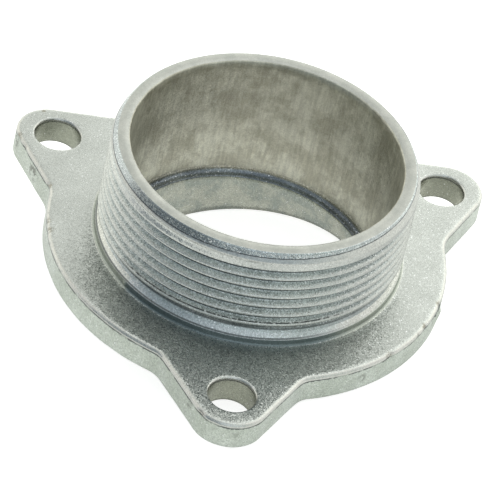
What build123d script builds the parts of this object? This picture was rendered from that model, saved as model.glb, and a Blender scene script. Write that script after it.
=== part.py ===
from build123d import *
import math
import os

# Pump inlet flange: a one-piece aluminium casting with a threaded neck for the
# suction hose, a flange plate with three bolt ears, and a slanted valve seat
# behind it. Millimetres. The origin is the centre of the flange's rear face,
# +Z points out along the neck, and -Y points to the lower ear.

# Flange plate
flange_thickness = 5.7
body_radius = 39.1
plate_edge_bevel = 0.5

# Ears and their bolt holes: one ear below, two above, alike on both sides
ear_spread = 118.3
bolt_circle_radius = 44.3
bolt_hole_radius = 4.4
hole_edge_bevel = 0.4
ear_tip_offset = 1.4
ear_tip_radius = 7.25
ear_flank_angle = 31.0
ear_root_fillet = 7.0

# Neck, from the rim down to the plate
neck_height = 28.0
rim_outer_radius = 28.8
lead_in_height = 2.1
collar_radius = 29.75
collar_height = 1.4
collar_edge_bevel = 0.3
relief_height = 1.7
foot_bevel = 0.4

# Pipe thread, 2 inch parallel: crest, depth, pitch and the angle of its sides
thread_crest_radius = 29.807
thread_depth = 1.479
thread_pitch = 2.309
thread_angle = 55.0
thread_root_width = 0.45
thread_end_gap = 1.4
thread_start_angle = -79.5
groove_overcut = 0.3

# Waterway: a cast bore with draft, and a land above the valve seat
bore_rim_radius = 26.3
bore_draft = 0.5
rim_inner_bevel = 0.25
land_height = 0.3
land_bevel = 0.9

# Valve seat: a ring cut off on a slope, lowest at the lower ear
seat_bore_radius = 24.25
seat_ring_wall = 3.1
seat_centre_drop = 5.5
seat_slope = 11.1

# How near an edge or corner has to lie to be picked
pick_tolerance = 0.01

# Sizes that follow from those above
ear_angles = (-90, -90 + ear_spread, -90 - ear_spread)
ear_tip_centre = bolt_circle_radius + ear_tip_offset
flank_length = ear_tip_centre / (2 * math.cos(math.radians(ear_flank_angle)))
collar_top = flange_thickness + collar_height
thread_root_radius = thread_crest_radius - thread_depth
relief_foot_radius = collar_radius - collar_edge_bevel
relief_top = collar_top + relief_height
thread_foot = relief_top + thread_depth * math.tan(math.radians(thread_angle / 2))
lead_in_foot = neck_height - lead_in_height
bore_foot_radius = bore_rim_radius - (neck_height - land_height) * math.tan(math.radians(bore_draft))
seat_ring_radius = seat_bore_radius + seat_ring_wall
seat_rise = seat_ring_radius * math.tan(math.radians(seat_slope))
seat_ring_reach = seat_centre_drop + 2 * seat_rise
groove_mouth = thread_depth + groove_overcut
groove_half_width = thread_root_width / 2 + groove_mouth * math.tan(math.radians(thread_angle / 2))
thread_length = lead_in_foot - thread_end_gap - relief_top


def ear_outline():
    """Face of one ear along +X: a round tip and two sides that spread towards the body."""
    with BuildSketch() as ear:
        with BuildLine():
            half_arc = 90 - ear_flank_angle
            tip = CenterArc((ear_tip_centre, 0), ear_tip_radius, -half_arc, 2 * half_arc)
            upper = PolarLine(tip @ 1, flank_length, 180 - ear_flank_angle)
            lower = PolarLine(tip @ 0, flank_length, 180 + ear_flank_angle)
            Line(upper @ 1, lower @ 1)
        make_face()
    return ear.sketch


def circles_at(part, height, radius):
    """Round edges of a part that lie at one height and have one radius."""
    rings = part.edges().filter_by(GeomType.CIRCLE)
    level = rings.filter_by_position(Axis.Z, height - pick_tolerance, height + pick_tolerance)
    return level.filter_by(lambda edge: abs(edge.radius - radius) < pick_tolerance)


# Valve seat ring: hangs below the rear face and is cut off by the slanted seat
seat_plane = Plane(origin=(0, 0, -seat_centre_drop)).rotated((seat_slope, 0, 0))

with BuildPart() as seat_ring:
    with BuildSketch(Plane.XY.offset(flange_thickness / 2)):
        Circle(seat_ring_radius)
    extrude(amount=-(flange_thickness / 2 + seat_ring_reach))
    split(bisect_by=seat_plane, keep=Keep.TOP)

# Plate with its ears, the neck, the seat ring and every hole, as one casting
with BuildPart() as flange:
    with BuildSketch():
        Circle(body_radius)
        for angle in ear_angles:
            with PolarLocations(0, 1, start_angle=angle):
                add(ear_outline())
        corners = vertices().filter_by(lambda v: abs(Vector(v).length - body_radius) < pick_tolerance)
        fillet(corners, radius=ear_root_fillet)
    extrude(amount=flange_thickness)
    plate_rim = faces().sort_by(Axis.Z)[-1].outer_wire().edges()
    chamfer(plate_rim, length=plate_edge_bevel)

    # Neck: collar, relief, plain thread blank and the bevelled lead-in at the rim
    with BuildSketch(Plane.XZ):
        with BuildLine():
            Polyline(
                (0, 0),
                (collar_radius + foot_bevel, 0),
                (collar_radius + foot_bevel, flange_thickness),
                (collar_radius, flange_thickness + foot_bevel),
                (collar_radius, collar_top - collar_edge_bevel),
                (relief_foot_radius, collar_top),
                (thread_root_radius, relief_top),
                (thread_crest_radius, thread_foot),
                (thread_crest_radius, lead_in_foot),
                (rim_outer_radius, neck_height),
                (0, neck_height),
                close=True,
            )
        make_face()
    revolve(axis=Axis.Z)
    add(seat_ring.part)

    # Thread: one V groove wound up the blank from the relief to below the lead-in
    start = math.radians(thread_start_angle)
    thread_plane = Plane(
        origin=(0, 0, relief_top),
        x_dir=(math.cos(start), math.sin(start), 0),
        z_dir=(0, 0, 1),
    )
    with BuildLine(thread_plane) as thread_path:
        Helix(pitch=thread_pitch, height=thread_length, radius=thread_root_radius)
    groove_plane = Plane(
        origin=thread_path.line @ 0,
        x_dir=thread_plane.x_dir,
        z_dir=thread_path.line % 0,
    )
    with BuildSketch(groove_plane):
        with BuildLine():
            Polyline(
                (0, -thread_root_width / 2),
                (groove_mouth, -groove_half_width),
                (groove_mouth, groove_half_width),
                (0, thread_root_width / 2),
                close=True,
            )
        make_face()
    sweep(path=thread_path.line, is_frenet=True, mode=Mode.SUBTRACT)

    # Waterway: drafted bore down to the land, then the straight bore of the seat
    with BuildSketch(Plane.XZ):
        with BuildLine():
            Polyline(
                (0, -seat_ring_reach),
                (seat_bore_radius, -seat_ring_reach),
                (seat_bore_radius, land_height),
                (bore_foot_radius - land_bevel, land_height),
                (bore_foot_radius, land_height + land_bevel),
                (bore_rim_radius, neck_height - rim_inner_bevel),
                (bore_rim_radius + rim_inner_bevel, neck_height),
                (0, neck_height),
                close=True,
            )
        make_face()
    revolve(axis=Axis.Z, mode=Mode.SUBTRACT)

    # Bolt holes through the ears, with their upper edges broken
    for angle in ear_angles:
        with PolarLocations(bolt_circle_radius, 1, start_angle=angle):
            Hole(bolt_hole_radius)
    chamfer(circles_at(flange.part, flange_thickness, bolt_hole_radius), length=hole_edge_bevel)

flange.part.label = "inlet_flange"

os.makedirs("parts", exist_ok=True)
export_step(flange.part, "parts/inlet_flange.step")
print("volume", round(flange.part.volume, 1), "valid", flange.part.is_valid)
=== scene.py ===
import math

import bmesh
import bpy
import numpy as np
from mathutils import Matrix, Vector, noise
from mathutils.geometry import delaunay_2d_cdt

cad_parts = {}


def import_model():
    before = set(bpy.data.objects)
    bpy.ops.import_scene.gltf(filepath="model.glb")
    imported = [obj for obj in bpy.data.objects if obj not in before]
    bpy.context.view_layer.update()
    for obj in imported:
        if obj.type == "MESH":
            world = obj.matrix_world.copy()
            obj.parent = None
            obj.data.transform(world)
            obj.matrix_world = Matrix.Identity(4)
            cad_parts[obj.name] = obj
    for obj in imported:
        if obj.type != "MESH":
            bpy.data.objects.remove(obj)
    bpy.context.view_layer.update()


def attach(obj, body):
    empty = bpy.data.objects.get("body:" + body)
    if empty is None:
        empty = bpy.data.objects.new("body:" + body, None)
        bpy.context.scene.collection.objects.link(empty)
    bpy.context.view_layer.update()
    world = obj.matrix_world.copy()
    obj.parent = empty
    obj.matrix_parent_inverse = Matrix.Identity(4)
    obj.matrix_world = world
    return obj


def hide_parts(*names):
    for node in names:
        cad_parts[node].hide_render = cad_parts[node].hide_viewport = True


# Pump inlet flange, dressed: one shot-blasted aluminium casting with a turned
# rim and a cut pipe thread, lying on a pale table. Sizes are in metres in the
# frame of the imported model: +Z out along the neck, -Y to the lower ear.

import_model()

MM = 0.001

# Flange plate
PLATE_TOP = 5.7 * MM
BODY_RADIUS = 39.1 * MM
EDGE_ROUND = 0.7 * MM
EDGE_ROLL = 0.95 * MM
REAR_ROUND = 0.3 * MM
SIDE_LEAN = 0.06 * MM
BOLT_CIRCLE = 44.3 * MM
HOLE_RADIUS = 4.5 * MM
HOLE_ROUND = 0.55 * MM

# Ears, in millimetres and degrees: each was ground a little differently, so tip
# radius, tip centre, flank angle and root fillet are its own. The first value
# of a pair is the clockwise side.
EARS = (
    {"angle": -90.0, "tip": 7.0, "centre": 45.7, "flanks": (31.5, 33.0), "roots": (6.5, 6.5)},
    {"angle": 28.3, "tip": 7.35, "centre": 45.5, "flanks": (31.8, 29.5), "roots": (5.0, 5.0)},
    {"angle": 151.7, "tip": 7.1, "centre": 45.7, "flanks": (30.0, 30.0), "roots": (8.5, 8.5)},
)

# Neck
NECK_TOP = 28.0 * MM
RIM_RADIUS = 28.8 * MM
RIM_ROUND = 0.12 * MM
COLLAR_RADIUS = 29.9 * MM
COLLAR_TOP = 7.1 * MM
COLLAR_BEVEL = 0.1 * MM
RELIEF_STEP = 0.22 * MM
FOOT_FILLET = 0.5 * MM
RELIEF_TOP = 8.8 * MM
LEAD_IN_FOOT = 25.9 * MM

# Pipe thread: one right-hand groove, fading out below the rim
CREST_RADIUS = 29.807 * MM
THREAD_DEPTH = 1.479 * MM
PITCH = 2.309 * MM
FLANK_SLOPE = math.tan(math.radians(27.5))
ROOT_FLAT = 0.38 * MM
CREST_BLEND = 0.12 * MM
THREAD_START_ANGLE = -79.5
FULL_TURNS = 6.79
FADE_TURNS = 0.62
GROOVE_STATIONS = (0.19, 0.56, 0.86, 0.96, 1.06)

# Waterway and valve seat
BORE_RIM_RADIUS = 26.3 * MM
BORE_FOOT_RADIUS = 26.06 * MM
RIM_INNER_BEVEL = 0.25 * MM
LAND_HEIGHT = 0.3 * MM
LAND_FILLET = 1.2 * MM
SEAT_BORE_RADIUS = 24.25 * MM
SEAT_EDGE = 0.15 * MM
SEAT_RING_RADIUS = 27.35 * MM
SEAT_DROP = 5.5 * MM
SEAT_SLOPE = math.radians(11.1)

# Fineness of the mesh
AROUND = 480
HOLE_AROUND = 96
OUTLINE_STEP = 0.42 * MM
TOP_STEP = 0.6 * MM
REAR_STEP = 2.4 * MM
WALL_ROWS = 9
ROUND_ROWS = 7
WELD_STEP = 0.002 * MM
SNAP = 0.01 * MM

# Surface kinds, which are also the order of the materials
CAST, SIDE, HOLE, COLLAR, CUT, LEAD_IN, TURNED, BORE, LAND, SEAT = range(10)

# Azimuths in degrees between which the collar's wall gets its darkest painted shade
SHADED_WALL = (-19.0, 66.0)

# Fine tool line round the lead-in: its height in millimetres and its rise per radian past
# azimuth zero
LEAD_IN_LINE = 26.68
LEAD_IN_LINE_RISE = 0.5

# A broken dark line wound along the thread near its foot: its height in millimetres less the thread's own
# rise, and the azimuths in degrees between which it shows
WOUND_LINE_HEIGHT = 10.81
WOUND_LINE_SPAN = (-22.0, 66.0)

# Wear that the photograph shows, as places in millimetres and how far each reaches:
# chips along the plate's upper edge, pits and smears on its side wall
EDGE_CHIPS = (
    ((9.0, 37.9, 5.2), 1.1), ((-2.6, 38.6, 5.2), 0.9), ((0.2, 38.7, 5.0), 0.5),
    ((-10.0, 37.3, 5.2), 0.8), ((5.5, -49.8, 5.1), 1.2), ((7.6, -47.6, 5.1), 1.0),
    ((13.6, -37.2, 5.2), 0.9), ((22.3, -31.7, 5.2), 0.9), ((24.3, -29.8, 5.2), 1.0),
    ((47.0, 19.0, 5.1), 0.9), ((48.6, 22.4, 5.0), 1.0),
)
SIDE_PITS = (
    ((46.8, 27.4, 3.2), 1.9), ((48.6, 25.5, 2.6), 1.3), ((44.0, 29.5, 3.4), 1.2),
    ((45.0, 15.6, 4.2), 1.3), ((15.5, 36.2, 2.6), 1.1), ((10.2, -43.0, 3.2), 2.2),
    ((5.0, -50.6, 3.4), 1.6), ((17.0, -35.0, 3.4), 1.6), ((-9.0, 38.0, 3.8), 1.2),
)
TOP_STAIN = ((-3.8, -50.2, 5.7), 0.5)

# A lip of casting flash on the plate's side: its azimuth and half its width in degrees,
# how far it stands out and the heights that it lies between
LIP_AZIMUTH = 103.0
LIP_HALF_WIDTH = 3.6
LIP_REACH = 0.55 * MM
LIP_HEIGHTS = (1.2 * MM, 5.0 * MM)

# A small lump on the collar where its dark wall begins
LUMP_AZIMUTH = -20.0
LUMP_REACH = 0.35 * MM

# Unevenness of the cast side wall: its depth and its length
CAST_DEPTH = 0.05 * MM
CAST_LENGTH = 3.5 * MM

# Size of the blasting's grains in millimetres, and the colour of the brightest of them
GRAIN = 0.18
GLINT = (0.93, 0.94, 0.95)

# The camera of the photograph, found from the part's own features
CAMERA_AZIMUTH = math.radians(23.555)
CAMERA_ELEVATION = math.radians(40.706)
CAMERA_ROLL = math.radians(-13.002)
CAMERA_DISTANCE = 955.36 * MM
CAMERA_SIDE = 0.378 * MM
CAMERA_DOWN = -5.522 * MM
CAMERA_AIM_HEIGHT = 10.2 * MM
CAMERA_LENS = 359.585
SENSOR_WIDTH = 36.0

ANGLES = np.arange(AROUND) * (2 * math.pi / AROUND)


def ring(radius, height, angles=ANGLES, centre=(0.0, 0.0)):
    """Points of a circle. Radius and height are one number, or one for each angle."""
    radii = np.broadcast_to(radius, angles.shape)
    heights = np.broadcast_to(height, angles.shape)
    x = centre[0] + radii * np.cos(angles)
    y = centre[1] + radii * np.sin(angles)
    return np.stack([x, y, heights], axis=1)


def arc(centre, radius, start, end, step=OUTLINE_STEP):
    """Points along a plane arc from one angle to another, without its last point."""
    count = max(2, math.ceil(abs(end - start) * radius / step))
    angles = start + (end - start) * np.arange(count) / count
    x = centre[0] + radius * np.cos(angles)
    y = centre[1] + radius * np.sin(angles)
    return np.stack([x, y], axis=1)


def segment(start, end, step=OUTLINE_STEP):
    """Points along a straight run, without its last point."""
    start = np.asarray(start)
    end = np.asarray(end)
    count = max(1, math.ceil(np.linalg.norm(end - start) / step))
    return start + (end - start) * (np.arange(count) / count)[:, None]


def ear_side(ear, side):
    """Points from an ear's tip down one flank to the body circle, and the angle where they end."""
    flank = math.radians(ear["flanks"][side])
    root = ear["roots"][side] * MM
    tip = ear["tip"] * MM
    centre = ear["centre"] * MM
    outward = np.array([math.sin(flank), math.cos(flank)])
    inward_run = np.array([-math.cos(flank), math.sin(flank)])
    height = centre * math.sin(flank) + tip + root
    along = -math.sqrt((BODY_RADIUS + root) ** 2 - height**2)
    fillet_centre = height * outward + along * inward_run
    tip_end = math.pi / 2 - flank
    tip_point = np.array([centre, 0.0]) + tip * outward
    flank_end = fillet_centre - root * outward
    body_end = fillet_centre * BODY_RADIUS / (BODY_RADIUS + root)
    body_angle = math.atan2(body_end[1], body_end[0])
    parts = [
        arc((centre, 0.0), tip, 0.0, tip_end),
        segment(tip_point, flank_end),
        arc(fillet_centre, root, -math.pi / 2 - flank, body_angle - math.pi),
    ]
    points = np.concatenate(parts + [body_end[None, :]])
    return points, body_angle


def turn(points, angle):
    cos, sin = math.cos(angle), math.sin(angle)
    return points @ np.array([[cos, sin], [-sin, cos]])


def plate_outline():
    """The plate's outline, anticlockwise, with the three ears."""
    pieces = []
    for index, ear in enumerate(EARS):
        following = EARS[(index + 1) % len(EARS)]
        angle = math.radians(ear["angle"])
        before, _ = ear_side(ear, 0)
        before = before[::-1] * (1.0, -1.0)
        after, body_angle = ear_side(ear, 1)
        _, next_body_angle = ear_side(following, 0)
        pieces.append(turn(before[:-1], angle))
        pieces.append(turn(after[:-1], angle))
        body_start = angle + body_angle
        body_end = math.radians(following["angle"]) - next_body_angle
        while body_end < body_start:
            body_end += 2 * math.pi
        pieces.append(arc((0.0, 0.0), BODY_RADIUS, body_start, body_end))
    return np.concatenate(pieces)


def outward_normals(outline):
    tangent = np.roll(outline, -1, axis=0) - np.roll(outline, 1, axis=0)
    tangent /= np.linalg.norm(tangent, axis=1)[:, None]
    return np.stack([tangent[:, 1], -tangent[:, 0]], axis=1)


class Skin:
    """Collects points and faces of the casting before they are welded into one mesh."""

    def __init__(self):
        self.points = []
        self.faces = []
        self.kinds = []
        self.count = 0

    def add_points(self, points):
        first = self.count
        self.points.append(np.asarray(points, float).reshape(-1, 3))
        self.count += len(self.points[-1])
        return first

    def add_faces(self, points, faces, kinds):
        """Faces over new points, with one kind for each face."""
        first = self.add_points(points)
        self.faces += [tuple(first + i for i in face) for face in faces]
        self.kinds += kinds

    def add_rows(self, rows, kind):
        """Quads between closed rows of equally many points."""
        starts = [self.add_points(row) for row in rows]
        size = len(rows[0])
        for low, high in zip(starts, starts[1:]):
            for i in range(size):
                j = (i + 1) % size
                self.faces.append((low + i, low + j, high + j, high + i))
                self.kinds.append(kind)


def hole_centres():
    for ear in EARS:
        angle = math.radians(ear["angle"])
        yield BOLT_CIRCLE * math.cos(angle), BOLT_CIRCLE * math.sin(angle)


def filled_face(skin, height, outer, inner_radius, inner, holes, step, seed, kind):
    """A level face between an outer loop, an inner circle and the holes, filled with even triangles."""
    rng = np.random.default_rng(seed)
    loops = [outer, inner] + holes
    reach = np.abs(outer).max() + step
    rows = np.arange(-reach, reach, step * math.sqrt(3) / 2)
    columns = np.arange(-reach, reach, step)
    grid_x, grid_y = np.meshgrid(columns, rows)
    grid_x[1::2] += step / 2
    inside = np.stack([grid_x.ravel(), grid_y.ravel()], axis=1)
    inside += rng.uniform(-0.12, 0.12, inside.shape) * step
    inside = inside[inside_loop(inside, outer)]
    border = np.concatenate(loops)
    keep = np.hypot(inside[:, 0], inside[:, 1]) > inner_radius + step / 2
    for centre, hole in zip(hole_centres(), holes):
        hole_radius = np.hypot(*(hole[0] - centre))
        keep &= np.hypot(inside[:, 0] - centre[0], inside[:, 1] - centre[1]) > hole_radius + step / 2
    inside = inside[keep]
    inside = inside[clear_of(inside, outer, step * 0.6)]
    edges = []
    first = 0
    for loop in loops:
        edges += [(first + i, first + (i + 1) % len(loop)) for i in range(len(loop))]
        first += len(loop)
    points = np.concatenate([border, inside]) / MM
    made = delaunay_2d_cdt([Vector(p) for p in points], edges, [], 1, 1e-6)
    flat = np.array([tuple(p) for p in made[0]]) * MM
    faces = np.array([tuple(face) for face in made[2]])
    middles = flat[faces].mean(axis=1)
    keep = np.hypot(middles[:, 0], middles[:, 1]) > inner_radius
    for centre, hole in zip(hole_centres(), holes):
        hole_radius = np.hypot(*(hole[0] - centre)) * math.cos(math.pi / len(hole))
        keep &= np.hypot(middles[:, 0] - centre[0], middles[:, 1] - centre[1]) > hole_radius
    spread = np.concatenate([flat, np.full((len(flat), 1), height)], axis=1)
    kept = faces[keep].tolist()
    skin.add_faces(spread, kept, [kind] * len(kept))


def inside_loop(points, loop):
    """Which points lie inside a closed loop, by counting crossings of a ray along +X."""
    x, y = points[:, 0:1], points[:, 1:2]
    x0, y0 = loop[:, 0], loop[:, 1]
    x1, y1 = np.roll(x0, -1), np.roll(y0, -1)
    crosses = (y0 > y) != (y1 > y)
    with np.errstate(divide="ignore", invalid="ignore"):
        meet = x0 + (y - y0) * (x1 - x0) / (y1 - y0)
    return ((crosses & (x < meet)).sum(axis=1) % 2) == 1


def clear_of(points, loop, distance):
    """Which points keep at least a distance from every point of a loop."""
    gaps = np.hypot(points[:, 0:1] - loop[:, 0], points[:, 1:2] - loop[:, 1])
    return gaps.min(axis=1) > distance


def side_relief(points):
    """How far each point of the side wall stands out: cast unevenness, chips and the flash lip."""
    uneven = [noise.noise(Vector(p) / CAST_LENGTH) for p in points]
    out = -CAST_DEPTH * (1 + np.array(uneven))
    for place, reach in EDGE_CHIPS:
        gaps = np.linalg.norm(points / MM - place, axis=1)
        out -= 0.22 * MM * np.exp(-(gaps / reach) ** 2)
    azimuth = np.degrees(np.arctan2(points[:, 1], points[:, 0]))
    across = np.clip(1 - np.abs(azimuth - LIP_AZIMUTH) / LIP_HALF_WIDTH, 0.0, 1.0)
    low, high = LIP_HEIGHTS
    up = (points[:, 2] - low) / (high - low)
    upward = np.where((up > 0) & (up < 1), np.sin(math.pi * np.clip(up, 0, 1) ** 2), 0.0)
    return out + LIP_REACH * smooth_step(2 * across) * upward


def plate(skin):
    """Plate with its ears: side wall, rounded upper edge, upper and rear faces and bolt holes."""
    outline = plate_outline()
    normals = outward_normals(outline)
    profile = [(REAR_ROUND, 0.0), (REAR_ROUND * 0.3, REAR_ROUND * 0.3)]
    wall_top = PLATE_TOP - EDGE_ROUND
    for i in range(WALL_ROWS + 1):
        share = i / WALL_ROWS
        profile.append((SIDE_LEAN * share, REAR_ROUND + (wall_top - REAR_ROUND) * share))
    for i in range(1, ROUND_ROWS + 1):
        bend = math.pi / 2 * i / ROUND_ROWS
        inset = SIDE_LEAN + EDGE_ROLL * (1 - math.cos(bend))
        profile.append((inset, wall_top + EDGE_ROUND * math.sin(bend)))
    rows = []
    for inset, height in profile:
        flat = outline - normals * inset
        row = np.concatenate([flat, np.full((len(flat), 1), height)], axis=1)
        row[:, :2] += normals * side_relief(row)[:, None]
        rows.append(row)
    skin.add_rows(rows[:WALL_ROWS + 3], SIDE)
    skin.add_rows(rows[WALL_ROWS + 2:], CAST)

    hole_angles = np.arange(HOLE_AROUND) * (2 * math.pi / HOLE_AROUND)
    upper_loops = []
    lower_loops = []
    for centre in hole_centres():
        hole_rows = []
        for i in range(ROUND_ROWS + 1):
            bend = math.pi / 2 * i / ROUND_ROWS
            radius = HOLE_RADIUS + HOLE_ROUND * (1 - math.sin(bend))
            height = PLATE_TOP - HOLE_ROUND * (1 - math.cos(bend))
            hole_rows.append(ring(radius, height, hole_angles, centre))
        wall_end = PLATE_TOP - HOLE_ROUND
        for i in range(1, WALL_ROWS + 1):
            hole_rows.append(ring(HOLE_RADIUS, wall_end * (1 - i / WALL_ROWS), hole_angles, centre))
        skin.add_rows(hole_rows[:ROUND_ROWS + 1], CAST)
        skin.add_rows(hole_rows[ROUND_ROWS:], HOLE)
        upper_loops.append(hole_rows[0][:, :2])
        lower_loops.append(hole_rows[-1][:, :2])

    foot = COLLAR_RADIUS + FOOT_FILLET
    upper = rows[-1][:, :2]
    lower = rows[0][:, :2]
    filled_face(skin, PLATE_TOP, upper, foot, ring(foot, 0.0)[:, :2], upper_loops, TOP_STEP, 3, CAST)
    seat_wall = ring(SEAT_RING_RADIUS, 0.0)[:, :2]
    filled_face(skin, 0.0, lower, SEAT_RING_RADIUS, seat_wall, lower_loops, REAR_STEP, 4, CAST)


def smooth_step(value):
    value = np.clip(value, 0.0, 1.0)
    return value * value * (3 - 2 * value)


def smooth_min(first, second, blend):
    share = np.clip(0.5 + (second - first) / (2 * blend), 0.0, 1.0)
    return second + (first - second) * share - blend * share * (1 - share)


def blank_radius(height):
    """Neck before the thread is cut: relief, crest and lead-in."""
    relief_foot = COLLAR_RADIUS - RELIEF_STEP
    root = CREST_RADIUS - THREAD_DEPTH
    flank_top = RELIEF_TOP + THREAD_DEPTH * FLANK_SLOPE
    heights = (COLLAR_TOP, RELIEF_TOP, flank_top, LEAD_IN_FOOT, NECK_TOP)
    radii = (relief_foot, root, CREST_RADIUS, CREST_RADIUS, RIM_RADIUS)
    return np.interp(height, heights, radii)


def neck_radius(angles, height):
    """Radius of the neck's outside with its groove, for angles in radians and heights in metres."""
    past_start = np.mod(np.degrees(angles) - THREAD_START_ANGLE, 360.0) / 360.0
    turns_up = (height - RELIEF_TOP) / PITCH
    lap = np.maximum(np.round(turns_up - past_start), 0)
    turns = lap + past_start
    from_groove = np.abs(turns_up - turns) * PITCH
    depth = THREAD_DEPTH - np.maximum(from_groove - ROOT_FLAT / 2, 0.0) / FLANK_SLOPE
    fade = 1 - smooth_step((turns - FULL_TURNS) / FADE_TURNS)
    groove = CREST_RADIUS - depth * fade
    return smooth_min(blank_radius(height), groove, CREST_BLEND)


def groove_rows(low, high):
    """Heights of the mesh rows of the thread, each following the groove round the neck."""
    stations = [s * MM for s in GROOVE_STATIONS]
    offsets = sorted(stations + [PITCH - s for s in stations])
    groove_at_zero = RELIEF_TOP - PITCH * THREAD_START_ANGLE / 360.0
    laps_below = math.ceil((groove_at_zero + PITCH - low) / PITCH)
    first = groove_at_zero - laps_below * PITCH
    laps = math.ceil((high - first) / PITCH)
    heights = [first + lap * PITCH + offset for lap in range(laps) for offset in offsets]
    return np.array(heights), len(offsets)


def thread(skin):
    """Neck from the relief to the lead-in, as rows wound along the groove."""
    low = COLLAR_TOP + 0.9 * MM
    high = LEAD_IN_FOOT
    heights, per_pitch = groove_rows(low, high)
    rise = PITCH * ANGLES / (2 * math.pi)
    grid = np.clip(heights[:, None] + rise[None, :], low, high)
    grid[grid > high - SNAP] = high
    grid[grid < low + SNAP] = low
    radius = neck_radius(np.broadcast_to(ANGLES, grid.shape), grid)
    points = np.stack([radius * np.cos(ANGLES), radius * np.sin(ANGLES), grid], axis=2)
    last = len(heights) - 1
    faces = []
    for i in range(last):
        for j in range(AROUND):
            if j + 1 < AROUND:
                low_next, high_next = i * AROUND + j + 1, (i + 1) * AROUND + j + 1
            else:
                low_next = min(i + per_pitch, last) * AROUND
                high_next = min(i + 1 + per_pitch, last) * AROUND
            low_here, high_here = i * AROUND + j, (i + 1) * AROUND + j
            heights_here = (grid.flat[low_here], grid.flat[high_here], grid.flat[low_next], grid.flat[high_next])
            if max(heights_here) - min(heights_here) > WELD_STEP:
                faces.append((low_here, low_next, high_next, high_here))
    skin.add_faces(points, faces, [CUT] * len(faces))
    return low, high


def neck(skin):
    """Collar, relief, thread, lead-in and rim."""
    rows = []
    for i in range(4):
        bend = math.pi / 2 * i / 4
        rows.append(ring(COLLAR_RADIUS + FOOT_FILLET * (1 - math.sin(bend)),
                         PLATE_TOP + FOOT_FILLET * (1 - math.cos(bend))))
    collar_edge = COLLAR_TOP - COLLAR_BEVEL
    from_lump = np.degrees(ANGLES) - LUMP_AZIMUTH % 360.0
    lump = LUMP_REACH * np.exp(-(from_lump / 0.9) ** 2)
    for height, share in zip(np.linspace(PLATE_TOP + FOOT_FILLET, collar_edge, 4), (0.7, 1.0, 0.8, 0.0)):
        rows.append(ring(COLLAR_RADIUS + lump * share, height))
    for bend in (math.pi / 6, math.pi / 3, math.pi / 2):
        rows.append(ring(COLLAR_RADIUS - COLLAR_BEVEL * (1 - math.cos(bend)),
                         collar_edge + COLLAR_BEVEL * math.sin(bend)))
    skin.add_rows(rows, COLLAR)
    low, high = thread(skin)
    relief = [rows[-1]]
    for height in np.linspace(COLLAR_TOP, low, 4)[1:]:
        relief.append(ring(neck_radius(ANGLES, np.full(AROUND, height)), height))
    skin.add_rows(relief, COLLAR)

    lead_in = []
    for height in np.linspace(high, NECK_TOP - RIM_ROUND, 9):
        lead_in.append(ring(neck_radius(ANGLES, np.full(AROUND, height)), height))
    lead_in.append(ring(RIM_RADIUS - RIM_ROUND * 0.35, NECK_TOP - RIM_ROUND * 0.3))
    lead_in.append(ring(RIM_RADIUS - RIM_ROUND * 1.1, NECK_TOP))
    skin.add_rows(lead_in, LEAD_IN)

    bevel_top = BORE_RIM_RADIUS + RIM_INNER_BEVEL
    middle = (RIM_RADIUS + bevel_top) / 2
    skin.add_rows([lead_in[-1], ring(middle, NECK_TOP), ring(bevel_top, NECK_TOP)], TURNED)


def seat_height(radius):
    """Height of the slanted seat face round a circle."""
    return -SEAT_DROP + math.tan(SEAT_SLOPE) * radius * np.sin(ANGLES)


def waterway(skin):
    """Bore, land, seat bore, slanted seat face and the seat ring's outside."""
    bevel_foot = NECK_TOP - RIM_INNER_BEVEL
    fillet_top = LAND_HEIGHT + LAND_FILLET
    rows = [ring(BORE_RIM_RADIUS + RIM_INNER_BEVEL, NECK_TOP)]
    for height in np.linspace(bevel_foot, fillet_top, 14):
        share = (height - fillet_top) / (bevel_foot - fillet_top)
        radius = BORE_FOOT_RADIUS + (BORE_RIM_RADIUS - BORE_FOOT_RADIUS) * share
        rows.append(ring(radius, height))
    skin.add_rows(rows, BORE)

    rows = rows[-1:]
    for i in range(1, ROUND_ROWS + 1):
        bend = math.pi / 2 * i / ROUND_ROWS
        rows.append(ring(BORE_FOOT_RADIUS - LAND_FILLET * (1 - math.cos(bend)),
                         fillet_top - LAND_FILLET * math.sin(bend)))
    rows.append(ring(SEAT_BORE_RADIUS + SEAT_EDGE, LAND_HEIGHT))
    rows.append(ring(SEAT_BORE_RADIUS, LAND_HEIGHT - SEAT_EDGE))
    skin.add_rows(rows, LAND)

    rows = rows[-1:]
    wall_top = LAND_HEIGHT - SEAT_EDGE
    seat_inner = seat_height(SEAT_BORE_RADIUS)
    for share in (0.2, 0.4, 0.6, 0.8, 1.0):
        rows.append(ring(SEAT_BORE_RADIUS, wall_top + (seat_inner - wall_top) * share))
    middle = (SEAT_BORE_RADIUS + SEAT_RING_RADIUS) / 2
    rows.append(ring(middle, seat_height(middle)))
    seat_outer = seat_height(SEAT_RING_RADIUS)
    for share in (0.0, 0.25, 0.5, 0.75, 1.0):
        rows.append(ring(SEAT_RING_RADIUS, seat_outer * (1 - share)))
    skin.add_rows(rows, SEAT)


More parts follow.
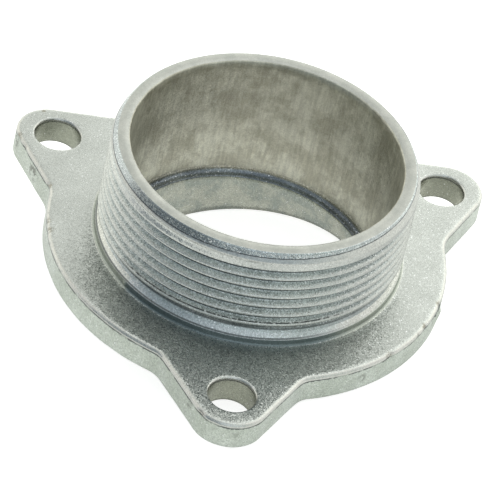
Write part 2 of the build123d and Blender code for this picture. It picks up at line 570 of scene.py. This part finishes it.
def weld(skin, name):
    """One mesh object from the collected faces, with touching points joined and normals outward."""
    mesh = bpy.data.meshes.new(name)
    mesh.from_pydata(np.concatenate(skin.points).tolist(), [], skin.faces)
    mesh.polygons.foreach_set("material_index", skin.kinds)
    work = bmesh.new()
    work.from_mesh(mesh)
    bmesh.ops.remove_doubles(work, verts=work.verts, dist=WELD_STEP)
    bmesh.ops.dissolve_degenerate(work, edges=work.edges, dist=WELD_STEP / 2)
    bmesh.ops.recalc_face_normals(work, faces=work.faces)
    open_edges = [edge for edge in work.edges if len(edge.link_faces) != 2]
    triangles = sum(len(face.verts) - 2 for face in work.faces)
    print("casting:", len(work.verts), "points,", triangles, "triangles,", len(open_edges), "open edges")
    work.to_mesh(mesh)
    work.free()
    mesh.shade_smooth()
    piece = bpy.data.objects.new(name, mesh)
    bpy.context.scene.collection.objects.link(piece)
    return piece


class Shade:
    """One node material. Each method adds a node and returns its output."""

    def __init__(self, name, roughness):
        self.material = bpy.data.materials.new(name)
        self.material.use_nodes = True
        self.nodes = self.material.node_tree.nodes
        self.links = self.material.node_tree.links
        self.shader = self.nodes["Principled BSDF"]
        self.shader.inputs["Metallic"].default_value = 1.0
        self.shader.inputs["Roughness"].default_value = roughness
        place = self.nodes.new("ShaderNodeTexCoord").outputs["Object"]
        self.place = self.vector_math("SCALE", place, scale=1 / MM)

    def set_input(self, socket, value):
        if isinstance(value, bpy.types.NodeSocket):
            self.links.new(value, socket)
        elif isinstance(value, tuple) and len(value) == 3 and socket.type == "RGBA":
            socket.default_value = (*value, 1.0)
        else:
            socket.default_value = value

    def math(self, operation, first, second=0.0, third=0.0, clamp=False):
        node = self.nodes.new("ShaderNodeMath")
        node.operation = operation
        node.use_clamp = clamp
        for socket, value in zip(node.inputs, (first, second, third)):
            self.set_input(socket, value)
        return node.outputs[0]

    def vector_math(self, operation, first, second=(0.0, 0.0, 0.0), scale=1.0):
        node = self.nodes.new("ShaderNodeVectorMath")
        node.operation = operation
        self.set_input(node.inputs[0], first)
        if operation == "SCALE":
            self.set_input(node.inputs["Scale"], scale)
        else:
            self.set_input(node.inputs[1], second)
        return node.outputs[0]

    def noise(self, scale, detail=2.0, roughness=0.5, place=None, stretch=None):
        """Noise with features of about 1/scale millimetres."""
        node = self.nodes.new("ShaderNodeTexNoise")
        place = place or self.place
        if stretch:
            place = self.vector_math("MULTIPLY", place, stretch)
        self.set_input(node.inputs["Vector"], place)
        self.set_input(node.inputs["Scale"], scale)
        self.set_input(node.inputs["Detail"], detail)
        self.set_input(node.inputs["Roughness"], roughness)
        return node.outputs["Fac"]

    def grains(self, size, stretch=(1.0, 1.0, 1.0)):
        """Three random numbers from 0 to 1 for each grain of about the given size in millimetres."""
        node = self.nodes.new("ShaderNodeTexVoronoi")
        self.set_input(node.inputs["Vector"], self.vector_math("MULTIPLY", self.place, stretch))
        self.set_input(node.inputs["Scale"], 1 / size)
        split = self.nodes.new("ShaderNodeSeparateColor")
        self.set_input(split.inputs[0], node.outputs["Color"])
        return split.outputs, node.outputs["Color"]

    def facets(self, random_colour, tilt, under):
        """A normal that leans a little another way on each grain."""
        lean = self.vector_math("SUBTRACT", random_colour, (0.5, 0.5, 0.5))
        lean = self.vector_math("SCALE", lean, scale=self.math("MULTIPLY", tilt, 2.0))
        return self.vector_math("NORMALIZE", self.vector_math("ADD", under, lean))

    def rescale(self, value, low, high, to_low=0.0, to_high=1.0):
        """A value between two limits, carried to two others and held there beyond them."""
        node = self.nodes.new("ShaderNodeMapRange")
        node.interpolation_type = "SMOOTHSTEP"
        for socket, number in zip(node.inputs, (value, low, high, to_low, to_high)):
            self.set_input(socket, number)
        return node.outputs["Result"]

    def mix(self, share, first, second, blend="MIX"):
        node = self.nodes.new("ShaderNodeMix")
        node.data_type = "RGBA"
        node.blend_type = blend
        self.set_input(node.inputs["Factor"], share)
        self.set_input(node.inputs["A"], first)
        self.set_input(node.inputs["B"], second)
        return node.outputs["Result"]

    def spots(self, places):
        """1 near any of the places and 0 beyond their reach. Each is a point and a reach in millimetres."""
        total = 0.0
        for point, reach in places:
            node = self.nodes.new("ShaderNodeVectorMath")
            node.operation = "DISTANCE"
            self.set_input(node.inputs[0], self.place)
            self.set_input(node.inputs[1], point)
            near = self.rescale(node.outputs["Value"], reach * 1.25, reach * 0.35)
            total = self.math("MAXIMUM", near, total)
        return total

    def axes(self):
        node = self.nodes.new("ShaderNodeSeparateXYZ")
        self.set_input(node.inputs[0], self.place)
        return node.outputs

    def radius_and_angle(self):
        """Distance from the neck's axis in millimetres and angle round it in radians."""
        x, y, _ = self.axes()
        squares = self.math("ADD", self.math("MULTIPLY", x, x), self.math("MULTIPLY", y, y))
        return self.math("SQRT", squares), self.math("ARCTAN2", y, x)

    def bump(self, height, depth, strength=1.0, under=None):
        """Relief of a height from 0 to 1, as deep as given in millimetres."""
        node = self.nodes.new("ShaderNodeBump")
        self.set_input(node.inputs["Strength"], strength)
        self.set_input(node.inputs["Distance"], depth * MM)
        self.set_input(node.inputs["Height"], height)
        if under:
            self.set_input(node.inputs["Normal"], under)
        return node.outputs["Normal"]

    def finish(self, colour, roughness, normal):
        self.set_input(self.shader.inputs["Base Color"], colour)
        self.set_input(self.shader.inputs["Roughness"], roughness)
        self.set_input(self.shader.inputs["Normal"], normal)
        return self.material


def blasted(shade, light, dark, contrast=0.2, sparkle=0.03, tilt=0.11):
    """Colour, roughness and normal of a shot-blasted skin: small facets, some of them bright."""
    clouds = shade.noise(0.11, 3.0, 0.6)
    fine = shade.noise(2.8, 2.0, 0.6)
    (bright, glint, gloss), random_colour = shade.grains(GRAIN)
    colour = shade.mix(shade.rescale(clouds, 0.35, 0.65), dark, light)
    colour = shade.mix(1.0, colour, shade.rescale(fine, 0.3, 0.7, 0.92, 1.06), "MULTIPLY")
    colour = shade.mix(1.0, colour, shade.rescale(bright, 0.0, 1.0, 1 - contrast, 1 + contrast), "MULTIPLY")
    colour = shade.mix(shade.rescale(glint, 1 - sparkle, 1.0, 0.0, 0.8), colour, GLINT)
    roughness = shade.rescale(gloss, 0.0, 1.0, 0.4, 0.26)
    normal = shade.bump(shade.noise(3.4, 2.0, 0.6), 0.006)
    return colour, roughness, shade.facets(random_colour, tilt, normal)


def edge_share(shade):
    """1 on the plate's rolled upper edges, 0 on its flat faces."""
    height = shade.axes()[2]
    top = PLATE_TOP / MM
    below_top = shade.rescale(height, top - 0.02, top - 0.14)
    return shade.math("MULTIPLY", below_top, shade.rescale(height, top - 1.2, top - 0.9))


def cast_material():
    """Upper faces of the plate and ears: smoother along the rubbed edges, which a painted highlight makes paler,
    with painted shade towards the left, and chipped in places.
    """
    shade = Shade("cast_skin", 0.45)
    edge = edge_share(shade)
    tilt = shade.math("MULTIPLY_ADD", edge, -0.08, 0.11)
    colour, roughness, normal = blasted(shade, (0.555, 0.575, 0.55), (0.505, 0.525, 0.5), tilt=tilt)
    x, y, _ = shade.axes()
    # Painted shade: the plate is painted darker towards its left.
    leftward = shade.math("MULTIPLY_ADD", x, 0.41, shade.math("MULTIPLY", y, -0.91))
    colour = shade.mix(1.0, colour, shade.rescale(leftward, 5.0, 45.0, 1.0, 0.88), "MULTIPLY")
    # Painted highlight on the rolled edges, mixed with their wear.
    wear_and_highlight = shade.math("MULTIPLY", edge, shade.rescale(shade.noise(0.8, 2.0, 0.5), 0.3, 0.5, 0.3, 0.7))
    colour = shade.mix(wear_and_highlight, colour, (0.63, 0.62, 0.575))
    chips = shade.math("MULTIPLY", shade.spots(EDGE_CHIPS), shade.rescale(shade.noise(1.6, 3.0, 0.7), 0.42, 0.52))
    chips = shade.math("MAXIMUM", chips, shade.spots((TOP_STAIN,)))
    colour = shade.mix(shade.math("MULTIPLY", chips, 0.7), colour, (0.2, 0.185, 0.14))
    return shade.finish(colour, roughness, normal)


def side_material():
    """Side wall of the plate: duller, with a green cast, pits, smears and a broken line of painted shade along its
    top.
    """
    shade = Shade("side_skin", 0.5)
    colour, roughness, normal = blasted(shade, (0.56, 0.6, 0.545), (0.47, 0.51, 0.45), 0.16, 0.02, 0.07)
    coarse = shade.noise(0.7, 4.0, 0.7)
    fine = shade.noise(2.4, 3.0, 0.7)
    places = shade.spots(SIDE_PITS)
    pits = shade.math("MAXIMUM", shade.rescale(fine, 0.68, 0.72, 0.0, 0.7),
                      shade.math("MULTIPLY", places, shade.rescale(coarse, 0.5, 0.55)))
    colour = shade.mix(shade.rescale(coarse, 0.55, 0.7, 0.0, 0.35), colour, (0.34, 0.37, 0.32))
    colour = shade.mix(shade.math("MULTIPLY", pits, 0.8), colour, (0.15, 0.155, 0.13))
    height = shade.axes()[2]
    # Painted shade: a broken dark line along the foot of the rounded upper edge.
    wavering = shade.math("MULTIPLY_ADD", fine, 0.7, -0.35)
    shade_line_height = (PLATE_TOP - EDGE_ROUND) / MM - 0.12
    from_shade_line = shade.math("SUBTRACT", shade.math("ADD", height, wavering), shade_line_height)
    shade_line = shade.math("MULTIPLY", shade.rescale(shade.math("ABSOLUTE", from_shade_line), 0.3, 0.1),
                      shade.rescale(shade.noise(0.3, 3.0, 0.65), 0.36, 0.54, 0.25, 0.95))
    colour = shade.mix(shade_line, colour, (0.1, 0.11, 0.105))
    normal = shade.bump(shade.math("MAXIMUM", pits, shade_line), -0.06, under=normal)
    return shade.finish(colour, roughness, normal)


def hole_material():
    """Walls of the bolt holes, as cast, with a line of painted shade under the rounded rim and painted shade on one
    hole's wall.
    """
    shade = Shade("hole_skin", 0.5)
    colour, roughness, normal = blasted(shade, (0.44, 0.455, 0.375), (0.34, 0.355, 0.29), 0.12, 0.01, 0.08)
    height = shade.axes()[2]
    # Painted shade: a dark line just under the rounded rim.
    line = (PLATE_TOP - HOLE_ROUND) / MM - 0.08
    from_line = shade.math("ABSOLUTE", shade.math("SUBTRACT", height, line))
    colour = shade.mix(shade.rescale(from_line, 0.32, 0.08, 0.0, 0.85), colour, (0.07, 0.075, 0.08))
    # Painted shade on the wall of the hole in the ear at -Y.
    left = (BOLT_CIRCLE / MM * math.cos(math.radians(-90.0)), BOLT_CIRCLE / MM * math.sin(math.radians(-90.0)), 3.0)
    shaded_hole_spot = shade.spots(((left, 8.0),))
    colour = shade.mix(shade.math("MULTIPLY", shaded_hole_spot, 0.35), colour, (0.2, 0.22, 0.17))
    return shade.finish(colour, roughness, normal)


def collar_material():
    """Collar and relief at the foot of the neck, with painted shade on its wall, darkest on the front, a darker and
    bluer copy of its colours on the front, and a dark line of painted shade just above its edge.
    """
    shade = Shade("collar_skin", 0.4)
    height = shade.axes()[2]
    _, angle = shade.radius_and_angle()
    front_start, front_end = (math.radians(a) for a in SHADED_WALL)
    fade = math.radians(1.2)
    front = shade.math("MULTIPLY", shade.rescale(angle, front_start - fade, front_start + fade),
                       shade.rescale(angle, front_end + 8 * fade, front_end - 8 * fade))
    # Painted shade: the front takes a darker, bluer copy of the colours.
    light = shade.mix(front, (0.62, 0.625, 0.58), (0.58, 0.61, 0.61))
    dark = shade.mix(front, (0.53, 0.54, 0.5), (0.48, 0.51, 0.51))
    colour, roughness, normal = blasted(shade, light, dark, 0.2, 0.06)
    # Painted shade on the collar's wall, darkest on the front.
    wall_shade_colour = shade.mix(front, (0.4, 0.43, 0.39), (0.2, 0.24, 0.245))
    wall_top = shade.math("MULTIPLY_ADD", front, -0.08, COLLAR_TOP / MM)
    below = shade.math("SUBTRACT", wall_top, height)
    wall = shade.rescale(below, -0.06, 0.06)
    foot = PLATE_TOP / MM
    wall = shade.math("MULTIPLY", wall, shade.rescale(height, foot + 0.005, foot + 0.05))
    colour = shade.mix(wall, colour, shade.mix(0.35, wall_shade_colour, colour, "MULTIPLY"))
    # Painted shade: a dark line just above the collar's edge.
    crease_shade_height = COLLAR_TOP / MM + 0.1
    from_crease_shade = shade.math("ABSOLUTE", shade.math("SUBTRACT", height, crease_shade_height))
    crease_shade = shade.math("MULTIPLY", shade.rescale(from_crease_shade, 0.16, 0.06),
                        shade.rescale(angle, 1.3, 0.7, 0.3, 0.8))
    colour = shade.mix(crease_shade, colour, (0.07, 0.08, 0.085))
    return shade.finish(colour, roughness, normal)


def cut_material():
    """Thread: flanks with a blue cast, painted darker towards the root and on the right side as painted shade,
    paler dressed crests, a dark root that is partly grime and partly painted shade, and one broken dark line wound
    near its foot.
    """
    shade = Shade("cut_thread", 0.4)
    radius, angle = shade.radius_and_angle()
    height = shade.axes()[2]
    crest = CREST_RADIUS / MM
    root = (CREST_RADIUS - THREAD_DEPTH) / MM
    colour, roughness, normal = blasted(shade, (0.54, 0.585, 0.575), (0.46, 0.505, 0.5), 0.24, 0.09, 0.14)
    # Painted shade: the flanks are painted darker towards the root, less so on the front.
    front = shade.math("MULTIPLY", shade.rescale(angle, -0.55, -0.1), shade.rescale(angle, 1.1, 0.5))
    depth = shade.rescale(radius, crest - 0.35, root + 0.35)
    inner = shade.math("MULTIPLY", depth, shade.math("MULTIPLY_ADD", front, 0.17, -0.24))
    colour = shade.mix(1.0, colour, shade.math("ADD", inner, 1.0), "MULTIPLY")
    dressed = shade.rescale(radius, crest - 0.72, crest - 0.25, 0.0, 0.62)
    land = shade.rescale(height, LEAD_IN_FOOT / MM - 1.1, LEAD_IN_FOOT / MM - 0.8, 0.0, 0.62)
    dressed = shade.math("MAXIMUM", dressed, land)
    grain = shade.rescale(shade.noise(3.4, 2.0, 0.6), 0.35, 0.65, 0.8, 1.12)
    colour = shade.mix(dressed, colour, shade.mix(1.0, (0.6, 0.6, 0.56), grain, "MULTIPLY"))
    # Painted shade: the thread is painted darker towards its right side.
    colour = shade.mix(1.0, colour, shade.rescale(angle, 0.9, 1.7, 1.0, 0.74), "MULTIPLY")
    # The dark root is part grime and part painted shade.
    dirt_and_shade = shade.rescale(radius, root + 0.36, root + 0.2, 0.0, 0.9)
    wound = shade.math("MULTIPLY_ADD", angle, -PITCH / MM / (2 * math.pi), height)
    above_relief = shade.rescale(wound, WOUND_LINE_HEIGHT - 0.7, WOUND_LINE_HEIGHT - 0.3)
    dirt_and_shade = shade.math("MULTIPLY", dirt_and_shade, shade.math("MAXIMUM", above_relief, 0.8))
    # A broken dark line wound near the thread's foot, darkened like the root.
    from_mark = shade.math("ABSOLUTE", shade.math("SUBTRACT", wound, WOUND_LINE_HEIGHT))
    mark = shade.rescale(from_mark, 0.1, 0.03)
    mark_start, mark_end = (math.radians(a) for a in WOUND_LINE_SPAN)
    mark = shade.math("MULTIPLY", mark, shade.rescale(angle, mark_start - 0.15, mark_start + 0.15))
    mark = shade.math("MULTIPLY", mark, shade.rescale(angle, mark_end + 0.2, mark_end - 0.2))
    broken = shade.rescale(shade.noise(1.3, 2.0, 0.6), 0.4, 0.5, 0.2, 0.9)
    dirt_and_shade = shade.math("MAXIMUM", dirt_and_shade, shade.math("MULTIPLY", mark, broken))
    colour = shade.mix(dirt_and_shade, colour, (0.03, 0.035, 0.035))
    return shade.finish(colour, roughness, normal)


def lead_in_material():
    """Bevelled lead-in at the rim, glossier than the rest, with a fine tool line wound round it and painted shade
    on its front.
    """
    shade = Shade("lead_in_skin", 0.28)
    _, angle = shade.radius_and_angle()
    height = shade.axes()[2]
    colour, _, normal = blasted(shade, (0.52, 0.56, 0.55), (0.42, 0.455, 0.45), 0.26, 0.09, 0.14)
    # Painted shade: part of the front is painted darker.
    deep = shade.math("MULTIPLY", shade.rescale(angle, -0.62, -0.4), shade.rescale(angle, 0.5, -0.05))
    colour = shade.mix(1.0, colour, shade.math("MULTIPLY_ADD", deep, -0.3, 1.0), "MULTIPLY")
    line = shade.math("MULTIPLY_ADD", shade.math("MAXIMUM", angle, 0.0), LEAD_IN_LINE_RISE, LEAD_IN_LINE)
    above_line = shade.math("SUBTRACT", height, line)
    below = shade.rescale(above_line, 0.05, -0.05)
    # Painted shade: below the tool line the upper front takes a darker, bluer colour.
    front = shade.math("MULTIPLY", shade.rescale(angle, -0.35, 0.1), shade.rescale(angle, 1.2, 0.6))
    upper = shade.rescale(height, LEAD_IN_FOOT / MM + 0.15, LEAD_IN_FOOT / MM + 0.4)
    blue = shade.math("MULTIPLY", front, upper)
    dressed = shade.mix(blue, (0.6, 0.6, 0.56), (0.42, 0.45, 0.455))
    grain = shade.rescale(shade.noise(3.4, 2.0, 0.6), 0.35, 0.65, 0.8, 1.12)
    colour = shade.mix(shade.math("MULTIPLY", below, 0.8), colour, shade.mix(1.0, dressed, grain, "MULTIPLY"))
    from_line = shade.math("ABSOLUTE", above_line)
    strength = shade.rescale(shade.noise(0.5, 2.0, 0.6), 0.35, 0.5, 0.5, 0.9)
    cut = shade.math("MULTIPLY", shade.rescale(from_line, 0.13, 0.04), strength)
    colour = shade.mix(cut, colour, (0.05, 0.055, 0.06))
    roughness = shade.math("MULTIPLY_ADD", below, 0.14, 0.27)
    return shade.finish(colour, roughness, normal)


def turned_material():
    """Face of the rim, turned smooth and a little dulled."""
    shade = Shade("turned_rim", 0.35)
    (bright, glint, gloss), random_colour = shade.grains(GRAIN)
    clouds = shade.noise(0.25, 3.0, 0.6)
    colour = shade.mix(shade.rescale(clouds, 0.35, 0.65), (0.39, 0.4, 0.375), (0.46, 0.465, 0.435))
    colour = shade.mix(1.0, colour, shade.rescale(bright, 0.0, 1.0, 0.92, 1.06), "MULTIPLY")
    roughness = shade.rescale(gloss, 0.0, 1.0, 0.45, 0.36)
    normal = shade.bump(shade.noise(2.2, 2.0, 0.6), 0.012)
    return shade.finish(colour, roughness, shade.facets(random_colour, 0.06, normal))


def bore_material():
    """Bore as cast: olive and tan mottling, with faint marks along the draw, and painted light making it lighter
    towards its foot.
    """
    shade = Shade("bore_skin", 0.5)
    mottle = shade.noise(0.17, 5.0, 0.68)
    draw = shade.noise(1.6, 2.0, 0.6, stretch=(1.0, 1.0, 0.12))
    (bright, glint, gloss), random_colour = shade.grains(GRAIN)
    colour = shade.mix(shade.rescale(mottle, 0.38, 0.62), (0.4, 0.39, 0.32), (0.565, 0.56, 0.48))
    colour = shade.mix(1.0, colour, shade.rescale(draw, 0.3, 0.7, 0.88, 1.08), "MULTIPLY")
    colour = shade.mix(1.0, colour, shade.rescale(bright, 0.0, 1.0, 0.92, 1.08), "MULTIPLY")
    height = shade.axes()[2]
    # Painted light: the bore is painted lighter towards its foot.
    colour = shade.mix(1.0, colour, shade.rescale(height, 1.0, 18.0, 1.38, 0.98), "MULTIPLY")
    normal = shade.bump(draw, 0.03)
    return shade.finish(colour, 0.48, shade.facets(random_colour, 0.1, normal))


def land_material():
    """Land above the valve seat: it takes the bore's colour where the bore runs into it, then turns dark with
    painted shade, deep in the bore.
    """
    shade = Shade("land_skin", 0.42)
    height = shade.axes()[2]
    # Painted shade: below the fillet the land is painted dark, deep in the bore.
    upper = shade.rescale(height, LAND_HEIGHT / MM + 0.25, (LAND_HEIGHT + LAND_FILLET) / MM - 0.1)
    light = shade.mix(upper, (0.3, 0.33, 0.35), (0.6, 0.59, 0.51))
    dark = shade.mix(upper, (0.16, 0.18, 0.2), (0.5, 0.49, 0.41))
    return shade.finish(*blasted(shade, light, dark, 0.2, 0.04, 0.1))


def seat_material():
    """Wall and face of the valve seat ring, mottled."""
    shade = Shade("seat_skin", 0.42)
    mottle = shade.rescale(shade.noise(0.22, 4.0, 0.65), 0.4, 0.62)
    light = shade.mix(mottle, (0.44, 0.475, 0.43), (0.56, 0.575, 0.5))
    dark = shade.mix(mottle, (0.38, 0.415, 0.375), (0.5, 0.51, 0.44))
    return shade.finish(*blasted(shade, light, dark, 0.12, 0.02, 0.08))


def camera():
    """The photograph's camera: it looks at the neck's axis and is rolled about its line of sight."""
    ce, se = math.cos(CAMERA_ELEVATION), math.sin(CAMERA_ELEVATION)
    ca, sa = math.cos(CAMERA_AZIMUTH), math.sin(CAMERA_AZIMUTH)
    forward = Vector((-ce * ca, -ce * sa, -se))
    right = Vector((-sa, ca, 0.0))
    down = forward.cross(right)
    cr, sr = math.cos(CAMERA_ROLL), math.sin(CAMERA_ROLL)
    rolled_right = cr * right + sr * down
    rolled_down = -sr * right + cr * down
    aim = Vector((0.0, 0.0, CAMERA_AIM_HEIGHT))
    place = aim - CAMERA_DISTANCE * forward - CAMERA_SIDE * rolled_right - CAMERA_DOWN * rolled_down
    data = bpy.data.cameras.new("camera")
    data.sensor_width = SENSOR_WIDTH
    data.lens = CAMERA_LENS
    data.clip_start = 0.05
    data.clip_end = 50.0
    made = bpy.data.objects.new("camera", data)
    bpy.context.scene.collection.objects.link(made)
    turned = Matrix((rolled_right, -rolled_down, -forward)).transposed()
    made.matrix_world = Matrix.Translation(place) @ turned.to_4x4()
    bpy.context.scene.camera = made


def floor_glow(nodes, links):
    """Strength of the floor's own light: for the camera, for reflections and transmissions, else 0."""
    path = nodes.new("ShaderNodeLightPath")
    total = None
    for name, strength in (("Is Camera Ray", 0.76), ("Is Glossy Ray", 0.45), ("Is Transmission Ray", 0.45)):
        add = nodes.new("ShaderNodeMath")
        add.operation = "MULTIPLY_ADD"
        links.new(path.outputs[name], add.inputs[0])
        add.inputs[1].default_value = strength
        if total:
            links.new(total, add.inputs[2])
        else:
            add.inputs[2].default_value = 0.0
        total = add.outputs[0]
    return total


def world():
    """White surroundings."""
    made = bpy.data.worlds.new("studio")
    made.use_nodes = True
    background = made.node_tree.nodes["Background"]
    background.inputs["Color"].default_value = (1.0, 1.0, 1.0, 1.0)
    background.inputs["Strength"].default_value = 1.0
    bpy.context.scene.world = made


def floor():
    """Pale table under the part. The part lies on the deep side of its seat and the plate's far edge."""
    seat_low = SEAT_DROP + math.tan(SEAT_SLOPE) * SEAT_RING_RADIUS
    slope = math.atan2(seat_low, SEAT_RING_RADIUS + BODY_RADIUS)
    size = 3.0
    corners = [(-size, -size, 0.0), (size, -size, 0.0), (size, size, 0.0), (-size, size, 0.0)]
    mesh = bpy.data.meshes.new("floor")
    mesh.from_pydata(corners, [], [(0, 1, 2, 3)])
    table = bpy.data.objects.new("floor", mesh)
    bpy.context.scene.collection.objects.link(table)
    table.rotation_euler = (slope, 0.0, 0.0)
    table.location = (0.0, -SEAT_RING_RADIUS, -seat_low - 0.05 * MM)
    made = bpy.data.materials.new("pale_table")
    made.use_nodes = True
    nodes, links = made.node_tree.nodes, made.node_tree.links
    shader = nodes["Principled BSDF"]
    shader.inputs["Base Color"].default_value = (0.68, 0.68, 0.66, 1.0)
    shader.inputs["Roughness"].default_value = 0.9
    shader.inputs["Specular IOR Level"].default_value = 0.0
    shader.inputs["Emission Color"].default_value = (1.0, 1.0, 1.0, 1.0)
    links.new(floor_glow(nodes, links), shader.inputs["Emission Strength"])
    mesh.materials.append(made)


def screen(name, colour, azimuths, elevations, distance):
    """A curved screen round the part that only its light and reflections show.

    Azimuths run anticlockwise from the camera's, seen from above, in degrees.
    """
    columns, rows = 17, 9
    corners = []
    for elevation in np.radians(np.linspace(*elevations, rows)):
        for azimuth in CAMERA_AZIMUTH + np.radians(np.linspace(*azimuths, columns)):
            outward = Vector((math.cos(elevation) * math.cos(azimuth),
                              math.cos(elevation) * math.sin(azimuth), math.sin(elevation)))
            corners.append(outward * distance)
    faces = []
    for row in range(rows - 1):
        for column in range(columns - 1):
            first = row * columns + column
            faces.append((first, first + 1, first + columns + 1, first + columns))
    mesh = bpy.data.meshes.new(name)
    mesh.from_pydata(corners, [], faces)
    made = bpy.data.materials.new(name)
    made.use_nodes = True
    nodes, links = made.node_tree.nodes, made.node_tree.links
    nodes.remove(nodes["Principled BSDF"])
    glow = nodes.new("ShaderNodeEmission")
    glow.inputs["Color"].default_value = (*colour, 1.0)
    links.new(glow.outputs[0], nodes["Material Output"].inputs["Surface"])
    mesh.materials.append(made)
    piece = bpy.data.objects.new(name, mesh)
    bpy.context.scene.collection.objects.link(piece)
    piece.visible_camera = False


def studio():
    """White tent with soft light from behind the part and grey screens on the camera's side."""
    bpy.context.scene.view_settings.view_transform = "Standard"
    world()
    floor()
    screen("back_light", (1.72, 1.75, 1.66), (112.0, 200.0), (-4.0, 34.0), 1.3)
    screen("back_left_light", (1.4, 1.42, 1.34), (200.0, 262.0), (-4.0, 34.0), 1.31)
    screen("high_light", (1.58, 1.61, 1.55), (105.0, 168.0), (34.0, 60.0), 1.35)
    screen("back_screen", (0.92, 0.94, 0.9), (168.0, 262.0), (34.0, 60.0), 1.34)
    screen("over_light", (1.5, 1.52, 1.48), (100.0, 250.0), (60.0, 85.0), 1.32)
    screen("left_screen", (0.33, 0.39, 0.43), (284.0, 346.0), (16.0, 54.0), 1.2)
    screen("high_left_screen", (0.42, 0.46, 0.47), (262.0, 346.0), (54.0, 76.0), 1.15)
    screen("front_screen", (0.9, 0.98, 1.03), (-14.0, 36.0), (16.0, 76.0), 1.25)
    screen("right_screen", (0.76, 0.83, 0.8), (36.0, 78.0), (16.0, 76.0), 1.26)
    screen("low_screen", (0.2, 0.24, 0.27), (-80.0, 74.0), (-10.0, 16.0), 1.22)
    screen("top_screen", (0.64, 0.72, 0.77), (-90.0, 90.0), (74.0, 90.0), 1.1)


skin = Skin()
plate(skin)
neck(skin)
waterway(skin)
casting = weld(skin, "flange_casting")
for made in (cast_material, side_material, hole_material, collar_material, cut_material,
             lead_in_material, turned_material, bore_material, land_material, seat_material):
    casting.data.materials.append(made())
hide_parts("inlet_flange")
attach(casting, "root")

camera()
studio()
